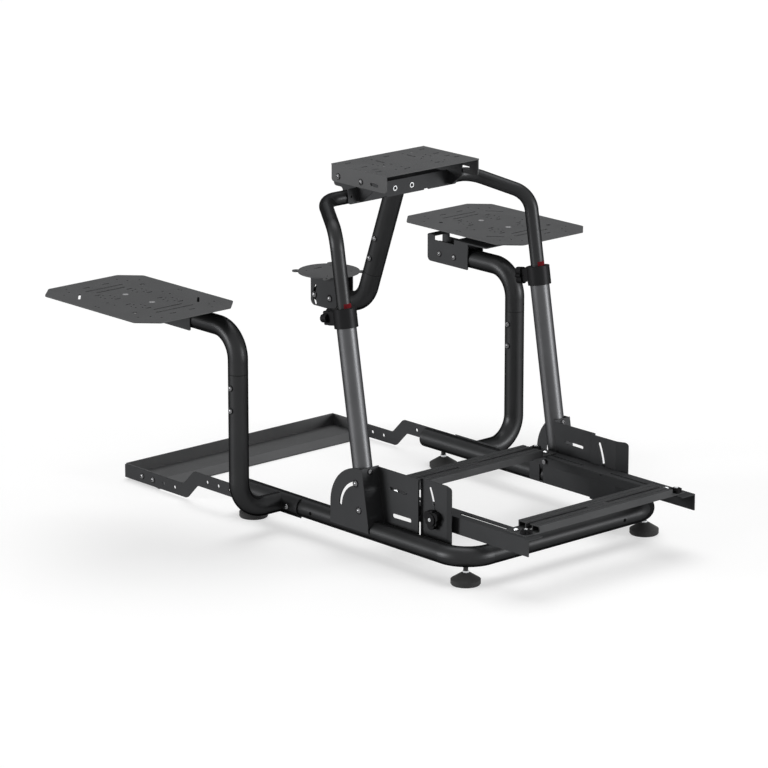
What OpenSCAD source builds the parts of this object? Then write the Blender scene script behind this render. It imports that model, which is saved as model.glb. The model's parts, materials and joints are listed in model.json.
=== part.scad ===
// Open tubular rig for flight controls: a floor frame, a seat carrier, a tilting hoop
// with a yoke plate and a stick mount, two armrest plates and a pedal tray.
// Axes: +X to the sitter's right, +Y forward, +Z up. The origin is on the floor, mid-frame.

/* [Floor frame] */
// Outside diameter of the floor tubes and arm tubes
tube_d = 50; // [40:1:56]
// Wall of every round tube
tube_wall = 2; // [1.5:0.5:3]
// Distance from the middle to each side rail's axis
rail_x = 325; // [290:5:360]
// Height of the rail axes above the floor
rail_z = 68; // [60:1:80]
// Front end of the side rails
rail_front_y = 304; // [270:2:320]
// Axis of the rear cross tube
rail_rear_y = -542; // [-580:2:-500]
// Centreline radius of every large tube bend
bend_r = 75; // [65:1:85]

/* [Feet] */
// Diameter of a foot's pad
foot_d = 73; // [60:1:85]
// Height of the pad's straight rim
foot_rim_h = 13; // [8:1:16]
// Distance of the front feet from the middle of the frame
foot_front_y = 238; // [215:1:260]

/* [Pedal tray] */
// Gap between a side rail and the strip that carries the tray
strip_gap = 7.5; // [6:0.5:12]
// Rear edge of the tray's lip
tray_rear_y = 578; // [560:2:596]
// Crease where the tray's floor turns down into its rear lip
tray_crease_y = 624; // [610:2:650]
// Front face of the tray's upstand
tray_front_y = 712; // [680:2:740]
// Height of the tray's rim
tray_h = 42; // [36:1:48]
// Thickness of all folded sheet
sheet_t = 3; // [2:0.5:4]
// Height of the strips that carry the tray
strip_h = 35; // [28:1:40]

/* [Armrests] */
// Distance from the middle to each arm tube's axis
arm_x = 468; // [440:2:500]
// Fore and aft place of the upright arm tubes
arm_y = 123; // [90:2:150]
// Height of the joint between the arm's two tubes
arm_joint_z = 421; // [380:2:430]
// Height of the upper stub's axis
arm_stub_z = 530; // [515:1:545]
// Length of an armrest plate
plate_len = 444; // [380:2:480]
// Width of an armrest plate
plate_w = 311; // [280:1:340]
// Corner cut of an armrest plate
plate_cut = 47; // [30:1:60]
// Top face of the armrest plates
plate_z = 593; // [575:1:620]

/* [Hoop] */
// Outside diameter of the lower uprights
upright_d = 49; // [44:0.5:49]
// Outside diameter of the hoop tube
hoop_d = 35; // [30:0.5:38]
// Forward lean of the uprights, degrees
lean = 9.7; // [6:0.1:12]
// Length of an upright above its pivot
upright_len = 480; // [430:5:500]
// Drop from the crossbar's axis to the shoulder corner of the hoop
shoulder_drop = 45; // [30:1:65]
// Half length of the hoop's crossbar
cross_half = 243; // [232:1:255]
// Fore and aft place of the crossbar's axis
cross_y = 58; // [45:1:70]
// Depth of the crossbar's axis under the top of the yoke plate
cross_drop = 70; // [62:1:78]
// Centreline radius of the hoop's bends
hoop_bend_r = 62; // [50:1:75]

/* [Yoke plate] */
// Width of the yoke plate
yoke_w = 309; // [280:1:340]
// Depth of the yoke plate
yoke_len = 204; // [180:1:230]
// Height of the yoke plate's side flanges
yoke_flange = 44; // [36:1:50]
// Top face of the yoke plate
yoke_z = 900; // [860:2:940]

/* [Stick mount] */
// Height of the stick arm's front stub
stick_z = 506; // [490:1:530]
// Lean of the stick arm, degrees
stick_lean = 20; // [15:0.5:25]
// Diameter of the round stick plate
stick_d = 158; // [140:1:170]
// Top face of the stick plate
stick_plate_z = 568; // [560:1:580]

/* [Seat carrier] */
// Distance from the middle to the outer face of each seat rail
seat_x = 282; // [270:1:284]
// Top face of the seat rails
seat_z = 149.4; // [145:0.2:155]
// Height of a seat rail's web
seat_web = 41.6; // [38:0.2:46]
// Width of a seat rail's flange
seat_flange = 47; // [42:1:52]
// Rear end of the seat rails
seat_rear_y = -712; // [-730:2:-690]
// Front end of the seat rails
seat_front_y = -147; // [-155:1:-130]
// Width of a cross rail
cross_rail_w = 72; // [66:1:80]
// Height of a cross rail
cross_rail_h = 18; // [15:0.5:22]

/* [Hidden] */
$fn = 48;
eps = 0.01;

// A bend is this much fuller than its tube, and each straight runs this far into it
bend_skin = 0.1;
weld_lap = 1;
tube_r = tube_d / 2;
upright_r = upright_d / 2;
hoop_r = hoop_d / 2;
cross_z = yoke_z - cross_drop;
shoulder_z = cross_z - shoulder_drop;
// Pivot of the uprights and of the seat carrier
pivot_y = -192;
pivot_z = rail_z + 50.5;
bolt_r = 4;
slot_gap = 0.5;
cheek_x = rail_x + tube_r;
wing_x = rail_x - tube_r;
cheek_r = 105;
lock_r = 67;
seat_arc_r = 204;
seat_knob_turn = 3.8;
pad_x = seat_x + sheet_t;
bracket_bottom = rail_z - 14;
bracket_top = pivot_z + 103.5;
joggle_y = -345;
pad_end_y = -436;
flare_end_y = -466;

// A point on the upright's axis, u above the pivot and v in front of the axis
function on_lean(u, v = 0) = [u * sin(lean) + v * cos(lean), u * cos(lean) - v * sin(lean)];
function unit(v) = v / norm(v);

// Rounds the corner b between a and c with an arc of radius r
function corner_arc(a, b, c, r) = r == 0 ? [b] : let (
  u = unit(a - b), v = unit(c - b), half = acos(u * v) / 2,
  p = b + u * r / tan(half), m = b + unit(u + v) * r / sin(half),
  from = atan2(p.y - m.y, p.x - m.x), turn = 180 - 2 * half,
  way = u.x * v.y - u.y * v.x > 0 ? -1 : 1, steps = 6
) [for (k = [0:steps]) m + r * [cos(from + way * turn * k / steps), sin(from + way * turn * k / steps)]];

// A closed outline with its corners rounded; each corner is [x, y, radius]
function rounded(corners) = let (n = len(corners), at = function(i) [corners[i % n].x, corners[i % n].y]) [
  for (i = [0:n - 1]) each corner_arc(at(i + n - 1), at(i), at(i + 1), corners[i].z)
];

module both_sides() {
  children();
  mirror([1, 0, 0]) children();
}

// Lays local Z along the line from a to b
module along(a, b) {
  w = unit(b - a);
  translate(a) rotate([0, acos(w.z), atan2(w.y, w.x)]) children();
}

module straight_tube(a, b, d, wall = tube_wall) {
  along(a, b) difference() {
    cylinder(d = d, h = norm(b - a));
    translate([0, 0, -1]) cylinder(d = d - 2 * wall, h = norm(b - a) + 2);
  }
}

// A tube bend at corner p between the directions u and v, with centreline radius r
module tube_bend(p, u, v, r, d, wall = tube_wall) {
  turn = acos(u * v);
  n = unit(v - u * (u * v));
  a = cross(u, n);
  c = p - u * bend_cut(u, v, r) + n * r;
  multmatrix([
    [-n.x, u.x, a.x, c.x],
    [-n.y, u.y, a.y, c.y],
    [-n.z, u.z, a.z, c.z]
  ]) rotate_extrude(angle = turn) translate([r, 0]) difference() {
    circle(d = d + 2 * bend_skin);
    circle(d = d - 2 * wall - 2 * bend_skin);
  }
}
function bend_cut(u, v, r) = r * tan(acos(u * v) / 2);

// A run of straight tubes and bends through the given corners
module tube_run(points, r, d, wall = tube_wall) {
  last = len(points) - 1;
  for (i = [0:last - 1]) {
    u = unit(points[i + 1] - points[i]);
    before = i == 0 ? 0 : bend_cut(unit(points[i] - points[i - 1]), u, r) - weld_lap;
    after = i == last - 1 ? 0 : bend_cut(u, unit(points[i + 2] - points[i + 1]), r) - weld_lap;
    if (norm(points[i + 1] - points[i]) - before - after > 2 * weld_lap)
      straight_tube(points[i] + u * before, points[i + 1] - u * after, d, wall);
    if (i > 0) tube_bend(points[i], unit(points[i] - points[i - 1]), u, r, d, wall);
  }
}

// Side rail: straight, closed forward end, with the rear corner bend
module base_rail() {
  corner = [rail_x, rail_rear_y, rail_z];
  tube_run([[rail_x, rail_front_y, rail_z], corner, [rail_x - bend_r, rail_rear_y, rail_z]], bend_r, tube_d);
  translate([rail_x, rail_front_y, rail_z]) rotate([90, 0, 0]) cylinder(r = tube_r - tube_wall, h = 3);
}
module left_base_rail() color("#303235") mirror([1, 0, 0]) base_rail();
module right_base_rail() color("#303235") base_rail();
module rear_base_tube() color("#303235")
  straight_tube([-(rail_x - bend_r), rail_rear_y, rail_z], [rail_x - bend_r, rail_rear_y, rail_z], tube_d);

// Levelling foot: a pad with a conical shoulder on a threaded stem that meets the tube
foot_corner = bend_r * (1 - cos(45));
module foot(x, y) {
  cone_h = 15;
  stem_r = 6;
  translate([x, y, 0]) {
    difference() {
      rotate_extrude() polygon([
        [0, 0], [foot_d / 2 - 2, 0], [foot_d / 2, 3], [foot_d / 2, foot_rim_h],
        [13, foot_rim_h + cone_h], [stem_r, foot_rim_h + cone_h],
        [stem_r, rail_z - tube_r + 3], [0, rail_z - tube_r + 3]
      ]);
      translate([-x, -y, 0]) foot_seat(x);
    }
  }
}
// The tube's outside over a foot, as the cut that seats the stem
module foot_seat(x) {
  if (abs(x) < rail_x) translate([sign(x) * (rail_x - bend_r), rail_rear_y + bend_r, rail_z])
    rotate_extrude() translate([bend_r, 0]) circle(d = tube_d + 2 * bend_skin);
  else translate([x, rail_front_y, rail_z]) rotate([90, 0, 0]) cylinder(r = tube_r, h = 400);
}
foot_rear_x = rail_x - foot_corner;
foot_rear_y = rail_rear_y + foot_corner;
module left_front_foot() color("#1c1d1f") foot(-rail_x, foot_front_y);
module right_front_foot() color("#1c1d1f") foot(rail_x, foot_front_y);
module left_rear_foot() color("#1c1d1f") foot(-foot_rear_x, foot_rear_y);
module right_rear_foot() color("#1c1d1f") foot(foot_rear_x, foot_rear_y);

// Pedal tray: one folded sheet with two sides, a front upstand and a rear lip to the ground
tray_w = 2 * (rail_x + tube_r + strip_gap);
tray_floor_z = 7;
tray_side_low = 4;
tray_lip_low = 1;
module pedal_tray() color("#3a3c3f") difference() {
  union() {
    translate([1 - tray_w / 2, 0, 0]) sheet_yz(tray_w - 2) polygon([
      [tray_front_y, tray_floor_z], [tray_front_y, tray_h], [tray_front_y - sheet_t, tray_h],
      [tray_front_y - sheet_t, tray_floor_z + sheet_t], [tray_crease_y, tray_floor_z + sheet_t],
      [tray_rear_y, tray_lip_low + sheet_t], [tray_rear_y, tray_lip_low], [tray_crease_y, tray_floor_z]
    ]);
    for (s = [-1, 1]) translate([s * (tray_w - sheet_t) / 2 - sheet_t / 2, 0, 0]) sheet_yz(sheet_t)
      polygon(rounded([
        [tray_rear_y - 4, tray_side_low, 0], [tray_front_y - 1, tray_side_low, 3],
        [tray_front_y - 1, tray_h - 1, 3], [tray_rear_y - 4, tray_h - 1, 6]
      ]));
  }
  for (y = strip_bolt_y) translate([-tray_w, y, strip_low_z]) rotate([0, 90, 0])
    cylinder(r = bolt_r + slot_gap, h = 2 * tray_w);
}

// Strip: flat bar with a step up from the tray to the rail, and a row of holes
strip_low_z = 22.5;
strip_high_z = 64.5;
strip_pitch = 44;
strip_step_y = 445;
strip_rear_y = 229;
strip_bolt_y = [for (i = [0:1]) tray_front_y - 71 - i * strip_pitch];
strip_bend_r = 18;
module strip() {
  half = strip_h / 2;
  run = strip_high_z - strip_low_z;
  y0 = strip_step_y + run / 2;
  y1 = strip_step_y - run / 2;
  shift = half * tan(22.5);
  spacer_y = [strip_rear_y + 14, strip_rear_y + 54];
  difference() {
    union() {
      translate([tray_w / 2, 0, 0]) sheet_yz(sheet_t) polygon(rounded([
        [tray_front_y, strip_low_z + half, 2], [y0 + shift, strip_low_z + half, strip_bend_r],
        [y1 + shift, strip_high_z + half, strip_bend_r], [strip_rear_y, strip_high_z + half, 6],
        [strip_rear_y, strip_high_z - half, 6], [y1 - shift, strip_high_z - half, strip_bend_r],
        [y0 - shift, strip_low_z - half, strip_bend_r], [tray_front_y, strip_low_z - half, 2]
      ]));
      for (y = spacer_y) translate([rail_x, y, rail_z]) rotate([0, 90, 0])
        cylinder(r = 9, h = tray_w / 2 + sheet_t / 2 - rail_x);
    }
    translate([rail_x, strip_rear_y - 5, rail_z]) rotate([-90, 0, 0]) cylinder(r = tube_r, h = 100);
    for (y = [for (i = [0:3]) tray_front_y - 71 - i * strip_pitch])
      translate([0, y, strip_low_z]) rotate([0, 90, 0]) cylinder(r = bolt_r + slot_gap, h = tray_w);
    for (y = [for (i = [0:2]) tray_front_y - 334 - i * strip_pitch])
      translate([0, y, strip_high_z]) rotate([0, 90, 0]) cylinder(r = bolt_r + slot_gap, h = tray_w);
  }
}
module left_tray_strip() color("#303235") mirror([1, 0, 0]) strip();
module right_tray_strip() color("#303235") strip();

// Lower arm tube: curved saddle on the rail, bend up, straight to the joint
saddle_len = 164;
saddle_t = 4;
module lower_arm() {
  difference() {
    union() {
      tube_run([[rail_x, arm_y, rail_z], [arm_x, arm_y, rail_z], [arm_x, arm_y, arm_joint_z]], bend_r, tube_d);
      saddle();
    }
    translate([rail_x, arm_y - saddle_len, rail_z]) rotate([-90, 0, 0]) cylinder(r = tube_r, h = 2 * saddle_len);
  }
}
module saddle() {
  span = 66;
  difference() {
    translate([rail_x, arm_y + saddle_len / 2, rail_z]) rotate([90, 0, 0])
      rotate([0, 0, -span]) rotate_extrude(angle = 2 * span) translate([tube_r, 0]) square([saddle_t, saddle_len]);
    translate([rail_x, arm_y, rail_z]) rotate([0, 90, 0]) cylinder(r = tube_r - tube_wall, h = 100);
    for (s = [-1, 1]) translate([rail_x, arm_y + s * 47, rail_z]) rotate([0, 90, 0])
      cylinder(r = bolt_r + slot_gap, h = 100);
  }
}
module left_lower_arm() color("#303235") mirror([1, 0, 0]) lower_arm();
module right_lower_arm() color("#303235") lower_arm();

// Upper arm tube: spigot into the lower arm, bend forward, stub into the bracket
spigot_len = 120;
stub_len = 292;
stub_end_y = arm_y + stub_len;
module upper_arm() {
  difference() {
    tube_run([[arm_x, arm_y, arm_joint_z], [arm_x, arm_y, arm_stub_z], [arm_x, stub_end_y, arm_stub_z]],
      bend_r, tube_d);
    for (y = bracket_bolt_y) translate([arm_x - 50, y, arm_stub_z]) rotate([0, 90, 0])
      cylinder(r = bolt_r + slot_gap, h = 100);
  }
  translate([arm_x, arm_y, arm_joint_z - spigot_len]) difference() {
    union() {
      cylinder(r = tube_r - tube_wall - 0.2, h = spigot_len + 8);
      translate([0, 0, spigot_len]) cylinder(r = tube_r - tube_wall / 2, h = 8);
    }
    translate([0, 0, -1]) cylinder(r = tube_r - 2 * tube_wall - 0.2, h = spigot_len + 10);
  }
  translate([arm_x, stub_end_y, arm_stub_z]) rotate([90, 0, 0]) cylinder(r = tube_r - tube_wall, h = 3);
}
module left_upper_arm() color("#303235") mirror([1, 0, 0]) upper_arm();
module right_upper_arm() color("#303235") upper_arm();

// Inner edge and middle of the armrest plates
plate_ahead = 217.7;
plate_in_x = arm_x - tube_r + 2.6;
plate_y = arm_y + plate_ahead;

// Plate bracket: a channel that straddles the stub, with a wide web that carries the plate
// on spacers and a window cut across the web's forward bend
bracket_back = 150;
bracket_y0 = arm_y + bracket_back;
bracket_len = 154;
bracket_bolt_y = [bracket_y0 + 52, bracket_y0 + 108];
spacer_h = 13;
web_z = plate_z - sheet_t - spacer_h;
web_tail = 69;
window_rear = 52;
window_len = 76;
window_drop = 10;
plate_bolt_reach = 52;
plate_bolt_y = [plate_y - plate_bolt_reach, plate_y + plate_bolt_reach];
module plate_bracket() {
  low = arm_stub_z - tube_r;
  outer = tube_r + sheet_t;
  web_x = plate_in_x + plate_w / 2 + 30;
  difference() {
    union() {
      for (x = [arm_x - outer, arm_x + tube_r]) translate([x, 0, 0]) sheet_yz(sheet_t) polygon(rounded([
        [bracket_y0, low, 3], [bracket_y0 + bracket_len, low, 12],
        [bracket_y0 + bracket_len, web_z - 1, 0], [bracket_y0, web_z - 1, 0]
      ]));
      translate([0, 0, web_z - sheet_t]) linear_extrude(sheet_t) polygon(rounded([
        [arm_x - outer, bracket_y0 - web_tail, 6], [web_x, bracket_y0 - web_tail, 20],
        [web_x, bracket_y0 + bracket_len, 20], [arm_x - outer, bracket_y0 + bracket_len, 4]
      ]));
      for (y = plate_bolt_y) translate([plate_in_x + plate_w / 2, y, web_z - 1]) cylinder(r = 9, h = spacer_h + 1);
    }
    for (y = bracket_bolt_y) translate([arm_x - 2 * outer, y, arm_stub_z]) rotate([0, 90, 0])
      cylinder(r = bolt_r + slot_gap, h = 4 * outer);
    for (y = plate_bolt_y) translate([plate_in_x + plate_w / 2, y, web_z - 2 * sheet_t])
      cylinder(r = bolt_r, h = spacer_h + 3 * sheet_t);
    translate([arm_x - outer - 1, bracket_y0 + window_rear, web_z - sheet_t - window_drop])
      cube([2 * outer + 2, window_len, window_drop + sheet_t + 1]);
  }
}
module left_plate_bracket() color("#2c2e31") mirror([1, 0, 0]) plate_bracket();
module right_plate_bracket() color("#2c2e31") plate_bracket();

module slot2d(len, w) {
  for (s = [-1, 1]) translate([s * (len - w) / 2, 0]) circle(d = w, $fn = 24);
  square([len - w, w], center = true);
}

// Side plate: flat plate with cut corners; its slots and holes repeat after half a turn
hole_d = 6;
module side_plate() {
  hw = plate_w / 2;
  hl = plate_len / 2;
  translate([plate_in_x + hw, plate_y, plate_z - sheet_t]) linear_extrude(sheet_t) difference() {
    polygon(rounded([
      [-hw + plate_cut, -hl, 12], [hw - plate_cut, -hl, 12], [hw, -hl + plate_cut, 12], [hw, hl - plate_cut, 12],
      [hw - plate_cut, hl, 12], [-hw + plate_cut, hl, 12], [-hw, hl - plate_cut, 12], [-hw, -hl + plate_cut, 12]
    ]));
    for (turn = [0, 180]) rotate(turn) plate_half_pattern();
  }
}
module plate_half_pattern() {
  translate([-96, 105]) circle(d = 13);
  translate([0, 138]) slot2d(118, 6);
  translate([0, 112]) slot2d(90, 6);
  translate([100, 108]) rotate(-50) slot2d(50, 6);
  translate([0, plate_bolt_reach]) circle(r = bolt_r);
  for (s = [-1, 1]) {
    translate([s * 30, 169]) slot2d(22, hole_d);
    for (p = [[79, 187], [92, 160], [119, 146], [87, 14], [130, 6]]) translate([s * p.x, p.y]) circle(d = hole_d);
    translate([s * 50, 60]) hole_ring();
  }
}
// Ring of holes between two short slots
module hole_ring() {
  for (a = [30:60:330]) rotate(a) translate([17, 0]) circle(d = hole_d - 0.5);
  for (s = [-1, 1]) translate([s * 8, s * 30]) slot2d(18, hole_d - 0.5);
}
module left_side_plate() color("#5a5c5f") mirror([1, 0, 0]) side_plate();
module right_side_plate() color("#5a5c5f") side_plate();

// Pivot bracket: outer cheek with an arc slot, leaning web behind the upright,
// inner wing with a joggled pad that faces the seat rail
module pivot_bracket() {
  difference() {
    union() {
      translate([cheek_x, 0, 0]) sheet_yz(sheet_t) cheek_outline();
      translate([wing_x - sheet_t, 0, 0]) sheet_yz(sheet_t) wing_outline();
      web();
      pad();
    }
    translate([0, pivot_y, pivot_z]) rotate([0, 90, 0]) cylinder(r = bolt_r, h = 500);
  }
}
module sheet_yz(t) rotate([90, 0, 90]) linear_extrude(t) children();
// Curved slot of centre radius r between two angles; its round ends are relieved a little
slot_relief = 0.2;
module ring_slot(r, a0, a1, w) {
  big = 3 * r;
  intersection() {
    difference() {
      circle(r = r + w / 2, $fn = 96);
      circle(r = r - w / 2, $fn = 96);
    }
    polygon([[0, 0], big * [cos(a0), sin(a0)], big * [cos((a0 + a1) / 2), sin((a0 + a1) / 2)], big * [cos(a1), sin(a1)]]);
  }
  for (a = [a0, a1]) translate(r * [cos(a), sin(a)]) circle(d = w + slot_relief);
}
module cheek_outline() difference() {
  translate([pivot_y, 0]) union() {
    translate([0, pivot_z]) circle(r = cheek_r, $fn = 96);
    translate([-cheek_r, bracket_bottom + 12]) square([2 * cheek_r, pivot_z - bracket_bottom - 12]);
  }
  translate([pivot_y, pivot_z]) rotate(-lean) translate([-501 - tube_r, -250]) square([500, 500]);
  translate([pivot_y - 200, bracket_bottom - 188]) square([400, 200]);
  translate([pivot_y, pivot_z]) ring_slot(lock_r, 4, 90 - lean, 2 * bolt_r + 2 * slot_gap);
}
module wing_outline() difference() {
  union() {
    difference() {
      translate([joggle_y, bracket_bottom]) square([pivot_y - joggle_y, bracket_top - bracket_bottom]);
      translate([pivot_y, pivot_z]) rotate(-lean) translate([-1 - tube_r, -250]) square([500, 500]);
    }
    translate([joggle_y, bracket_bottom]) square([pivot_y + 77 - joggle_y, 48]);
    translate([pivot_y - 40, bracket_bottom]) square([70, 88]);
  }
  translate([pivot_y + 28, bracket_bottom + 3]) square([13, 42]);
  translate([pivot_y - 84, pivot_z + 58]) rotate(1) slot2d(64, 8);
  translate([pivot_y - 97, pivot_z - 8]) rotate(-1) slot2d(68, 11);
}
module web() difference() {
  translate([wing_x - sheet_t, pivot_y, pivot_z]) rotate([-lean, 0, 0])
    translate([0, -tube_r - sheet_t, -75]) difference() {
      cube([tube_d + 2 * sheet_t, sheet_t, 75 + 103]);
      translate([30, -1, 75 + 92]) rotate([-90, 0, 0]) cylinder(r = bolt_r, h = sheet_t + 2);
    }
  translate([rail_x, rail_front_y, rail_z]) rotate([90, 0, 0]) cylinder(r = tube_r, h = 800);
  translate([wing_x - 10, pivot_y - 150, rail_z - 60]) cube([tube_d + 20, 300, 72]);
}
// The pad's plan: joggle inward through a slotted step, flat pad, flare back towards the rail
flare_round = 10;
module pad() {
  difference() {
    translate([0, 0, bracket_bottom]) linear_extrude(bracket_top - bracket_bottom) polygon([
      [wing_x, joggle_y + 4], [wing_x, joggle_y - sheet_t], [pad_x + sheet_t, joggle_y - sheet_t],
      [pad_x + sheet_t, pad_end_y], [wing_x - 0.6, flare_end_y], [wing_x - sheet_t - 0.6, flare_end_y + 1.5],
      [pad_x, pad_end_y + 1.5], [pad_x, joggle_y], [wing_x - sheet_t, joggle_y], [wing_x - sheet_t, joggle_y + 4]
    ]);
    translate([pad_x - 1, pivot_y, pivot_z]) sheet_yz(sheet_t + 2)
      ring_slot(seat_arc_r, 155.5, 180 - seat_knob_turn + 0.5, 2 * bolt_r + 2 * slot_gap);
    for (z = [[bracket_bottom + 6, pivot_z - 4], [pivot_z + 9, bracket_top - 4]])
      translate([pad_x + sheet_t + 1, joggle_y - sheet_t - 1, z.x])
        cube([wing_x - pad_x - 2 * sheet_t - 2, sheet_t + 2, z.y - z.x]);
    for (z = [[bracket_bottom, 1], [bracket_top, -1]]) difference() {
      translate([pad_x - 1, flare_end_y - 1, z.x - 1 + (z.y - 1) * flare_round / 2])
        cube([tube_r, flare_round + 1, flare_round + 1]);
      translate([pad_x - 2, flare_end_y + flare_round, z.x + z.y * flare_round]) rotate([0, 90, 0])
        cylinder(r = flare_round, h = tube_r + 2);
    }
  }
}
module left_pivot_bracket() color("#2c2e31") mirror([1, 0, 0]) pivot_bracket();
module right_pivot_bracket() color("#2c2e31") pivot_bracket();

// Domed bolt head on its washer, along +Z
head_r = 7;
head_h = 4;
module button_head() {
  dome_r = (head_r * head_r + head_h * head_h) / (2 * head_h);
  cylinder(r = head_r + 2, h = 1.2);
  translate([0, 0, 1]) rotate_extrude() intersection() {
    translate([0, head_h - dome_r]) circle(r = dome_r, $fn = 96);
    square([head_r, head_h]);
  }
}

// Pivot bolts: each runs through cheek, upright, wing and seat rail
module pivot_bolts() color("#b8babd") both_sides() {
  translate([seat_x - sheet_t - 7, pivot_y, pivot_z]) rotate([0, 90, 0])
    cylinder(r = bolt_r, h = cheek_x + sheet_t + 7 - seat_x + sheet_t);
  translate([cheek_x + sheet_t, pivot_y, pivot_z]) rotate([0, 90, 0]) button_head();
  translate([seat_x - sheet_t - 7, pivot_y, pivot_z]) rotate([0, 90, 0]) cylinder(r = 6.5, h = 6, $fn = 6);
}

// Upright: lower tube of a hoop leg, bored for the pivot and the lock bolt
upright_toe = pivot_z - rail_z - tube_r - 5.2;
module lean_frame() translate([rail_x, pivot_y, pivot_z]) rotate([-lean, 0, 0]) children();
module upright() lean_frame() difference() {
  union() {
    cylinder(r = upright_r, h = upright_len);
    intersection() {
      translate([0, 0, -upright_toe]) cylinder(r = upright_r, h = upright_toe + 1);
      translate([-50, 0, 0]) rotate([0, 90, 0]) cylinder(r = upright_toe, h = 100);
    }
  }
  translate([0, 0, -upright_toe - 1]) cylinder(r = upright_r - tube_wall, h = upright_len + upright_toe + 2);
  translate([-50, 0, 0]) rotate([0, 90, 0]) cylinder(r = bolt_r + 0.1, h = 100);
  translate([0, 0, lock_r]) rotate([0, 90, 0]) cylinder(r = bolt_r, h = 100);
}
module left_upright() color("#66696d") mirror([1, 0, 0]) upright();
module right_upright() color("#66696d") upright();

// Collar: split clamp with a sleeve that guides the hoop tube
collar_h = 47;
collar_r = upright_r + 5;
collar_step = 14;
run_gap = 0.1;
module collar() lean_frame() difference() {
  union() {
    translate([0, 0, upright_len - collar_h + collar_step]) cylinder(r = collar_r, h = collar_h);
    translate([-12, 0, collar_mid - 16]) cube([24, collar_r + 20, 32]);
  }
  translate([0, 0, upright_len - collar_h]) cylinder(r = upright_r, h = collar_h);
  translate([0, 0, upright_len - 1]) cylinder(r = hoop_r + run_gap, h = collar_h);
  translate([0, 0, collar_mid]) rotate([-90, 0, 0]) cylinder(r = bolt_r, h = 100);
}
collar_mid = upright_len + collar_step - collar_h / 2;
module left_collar() color("#1d1e20") mirror([1, 0, 0]) collar();
module right_collar() color("#1d1e20") collar();

// Three-lobed hand knob along +Z, with its bolt of length reach below it
module lobed_knob(d, h, reach) {
  lobes = 3;
  difference() {
    union() {
      cylinder(r = d * 0.3, h = h);
      for (i = [0:lobes - 1]) rotate(i * 360 / lobes) {
        translate([d * 0.27, 0, 0]) cylinder(r = d * 0.23, h = h - 3);
        translate([-d * 0.33, 0, 0]) cylinder(r = d * 0.1, h = h - 4);
      }
    }
    translate([0, 0, h - 3]) cylinder(r = 5.5, h = 4);
  }
  translate([0, 0, -reach]) cylinder(r = bolt_r - 0.1, h = reach + 1);
}
knob_d = 46;
seat_knob_d = 52;
module collar_knob() lean_frame() translate([0, collar_r + 20, collar_mid]) rotate([-90, 0, 0])
  lobed_knob(knob_d, 22, 20);
module left_collar_knob() color("#161718") mirror([1, 0, 0]) collar_knob();
module right_collar_knob() color("#161718") collar_knob();

// Lock bolts: they ride in the cheeks' arc slots and hold the lean
module lock_bolts() color("#b8babd") both_sides() lean_frame() translate([0, 0, lock_r]) rotate([0, 90, 0]) {
  translate([0, 0, upright_r - 6]) cylinder(r = bolt_r - 0.02, h = tube_r - upright_r + 6 + sheet_t + 1);
  translate([0, 0, tube_r + sheet_t + 0.4]) button_head();
  translate([0, 0, upright_r - 8.5]) cylinder(r = 6.5, h = 5, $fn = 6);
}

// Hoop leg: inner tube, shoulder bend, link and second bend that meets the crossbar
hoop_tail = 330;
function shoulder() = let (u = (shoulder_z - pivot_z) / cos(lean)) [rail_x, pivot_y + on_lean(u).x, shoulder_z];
module hoop_leg() {
  bottom = [rail_x, pivot_y + on_lean(hoop_tail).x, pivot_z + on_lean(hoop_tail).y];
  tube_run([bottom, shoulder(), [cross_half, cross_y, cross_z], [cross_half - hoop_turn_out, cross_y, cross_z]],
    hoop_bend_r, hoop_d);
}
// The crossbar's straight begins just past the second bend
link_dir = unit([cross_half, cross_y, cross_z] - shoulder());
hoop_turn_out = bend_cut(link_dir, [-1, 0, 0], hoop_bend_r) + 2 * weld_lap;
module left_hoop_leg() color("#3b3d40") mirror([1, 0, 0]) hoop_leg();
module right_hoop_leg() color("#3b3d40") hoop_leg();
module hoop_crossbar() color("#3b3d40")
  straight_tube([-(cross_half - hoop_turn_out), cross_y, cross_z], [cross_half - hoop_turn_out, cross_y, cross_z], hoop_d);

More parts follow.
